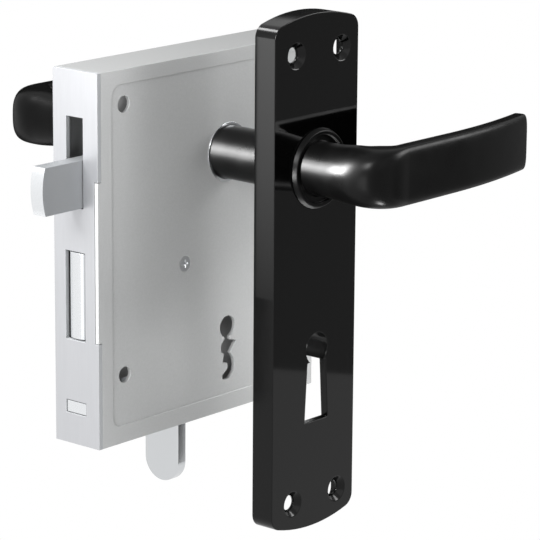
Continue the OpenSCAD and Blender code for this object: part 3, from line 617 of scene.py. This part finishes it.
def add_lamp(name, at, aim, size, watts, only=(), but=()):
    """A soft rectangular lamp that faces a point. With only, it lights just those pieces, past
    what stands between, and with but, it leaves those pieces out."""
    light = bpy.data.lights.new(name, "AREA")
    light.shape = "RECTANGLE"
    light.size, light.size_y = mm(*size)
    light.energy = watts
    lamp = hang(name, light, at)
    lamp.rotation_euler = (mm(*aim) - lamp.location).to_track_quat("-Z", "Y").to_euler()
    if only or but:
        pieces = bpy.data.collections.new(name + "_pieces")
        for piece in (*only, *but):
            pieces.objects.link(piece)
        for row in pieces.collection_objects:
            row.light_linking.link_state = "INCLUDE" if only else "EXCLUDE"
        lamp.light_linking.receiver_collection = pieces
        light.use_shadow = not only


def add_bulb(name, at, watts):
    """A small round bulb."""
    bulb = bpy.data.lights.new(name, "POINT")
    bulb.energy = watts
    bulb.shadow_soft_size = BULB_R * MM
    hang(name, bulb, at)


def set_world():
    """A weak, even light from all round, which looks white."""
    world = bpy.data.worlds.new("studio")
    bpy.context.scene.world = world
    world.use_nodes = True
    tree = world.node_tree
    tree.nodes.clear()
    room = add(tree, "ShaderNodeBackground", {"Color": WHITE, "Strength": WORLD_LIGHT})
    white = add(tree, "ShaderNodeBackground", {"Color": WHITE, "Strength": 1.0})
    mix = add(tree, "ShaderNodeMixShader", {
        "Fac": shown_rays(tree), 1: room.outputs["Background"], 2: white.outputs["Background"],
    })
    add(tree, "ShaderNodeOutputWorld", {"Surface": mix.outputs["Shader"]})


add_camera()
set_world()
add_floor()
# A grey card at the right keeps the black plate and grip dark: it lies where they mirror the
# camera's line of sight
add_card("grey_card", "#A8A8A8", at=(431, -276, -118), facing=(0.86, -0.45, -0.24),
         half=(300, 300))
# A dark card behind the object keeps its rims and its upper faces from mirroring a white room
add_card("rear_card", "#303030", at=(226, 195, 16), facing=(0.7355, 0.6332, -0.2412),
         half=(260, 260))
# The plate's side mirrors a white flag that is brighter towards its top and also blocks light
add_card("white_flag", "#FFFFFF", at=(-20, -37.6, 28), facing=(1, 0, 0), half=(5, 52),
         blocks=True, glow=(1.3, 5.0))
# A softbox at the left lights the forend. It leaves out the outer lever, which it would grey
add_lamp("forend_softbox", at=(-315, 30, 170), aim=(0, -55, 26), size=(120, 120), watts=2.1,
         but=(outer,))
# The plate stands in the way of what the outer neck and the collar would mirror, so these light
# the one or the other past it: the bands along the neck, the collar's rim and the elbow's foot
add_lamp("neck_softbox", at=(-209, 136, 98), aim=(11, -54, 26), size=(60, 120), watts=9.2,
         only=(outer,))
add_lamp("collar_softbox", at=(-273, -110, -46), aim=(11, -50, 26), size=(70, 70), watts=1.6,
         only=(collar,))
add_lamp("collar_low_softbox", at=(34, -7, -83), aim=(11, -48, 16), size=(40, 40), watts=0.25,
         only=(collar,))
add_lamp("under_softbox", at=(0, -124, -80), aim=(18, -60, 18), size=(30, 30), watts=0.16,
         only=(outer,))
# One high at the back, for the plate's upper corner and the tops of the necks
add_lamp("high_softbox", at=(-146, 338, 517), aim=(0, -40, 60), size=(200, 70), watts=1.1)
# One low at the left, along the collar's rim and the elbow's side
add_lamp("low_left_softbox", at=(-384, -131, -70), aim=(-5, -48, 26), size=(100, 100),
         watts=0.26)
# A key light at the upper left, which the collar's rim and the bevelled edges catch
add_lamp("left_softbox", at=(-1020, -264, 600), aim=(0, 0, 0), size=(400, 400), watts=14)
# A weak one overhead softens the shadows
add_lamp("top_softbox", at=(-300, -300, 1500), aim=(0, 0, 0), size=(900, 900), watts=0.3)
# A big, weak softbox to the right of the camera fills the case's door side
add_lamp("front_softbox", at=(-500, -1900, 900), aim=(0, 0, 0), size=(1400, 1400), watts=4)
# A small softbox to the right shines between the plate and the case
add_lamp("right_softbox", at=(310, -270, 170), aim=(20, 0, 0), size=(160, 160), watts=0.9)
# The plate shades the cover behind it, so a weak one lights only the cover, past the plate
add_lamp("gap_softbox", at=(55, -80, -55), aim=(50, 0, -55), size=(60, 60), watts=0.045,
         only=(cover,))
# Small bulbs in the case, so that the slot and the holes don't look into black
add_bulb("slot_bulb", at=(-30, 18, 50), watts=0.001)
add_bulb("keyhole_bulb", at=(32, 13, -62), watts=0.0009)
add_bulb("low_hole_bulb", at=(-26, 19, -56), watts=0.0004)
bpy.context.scene.view_settings.view_transform = "Standard"
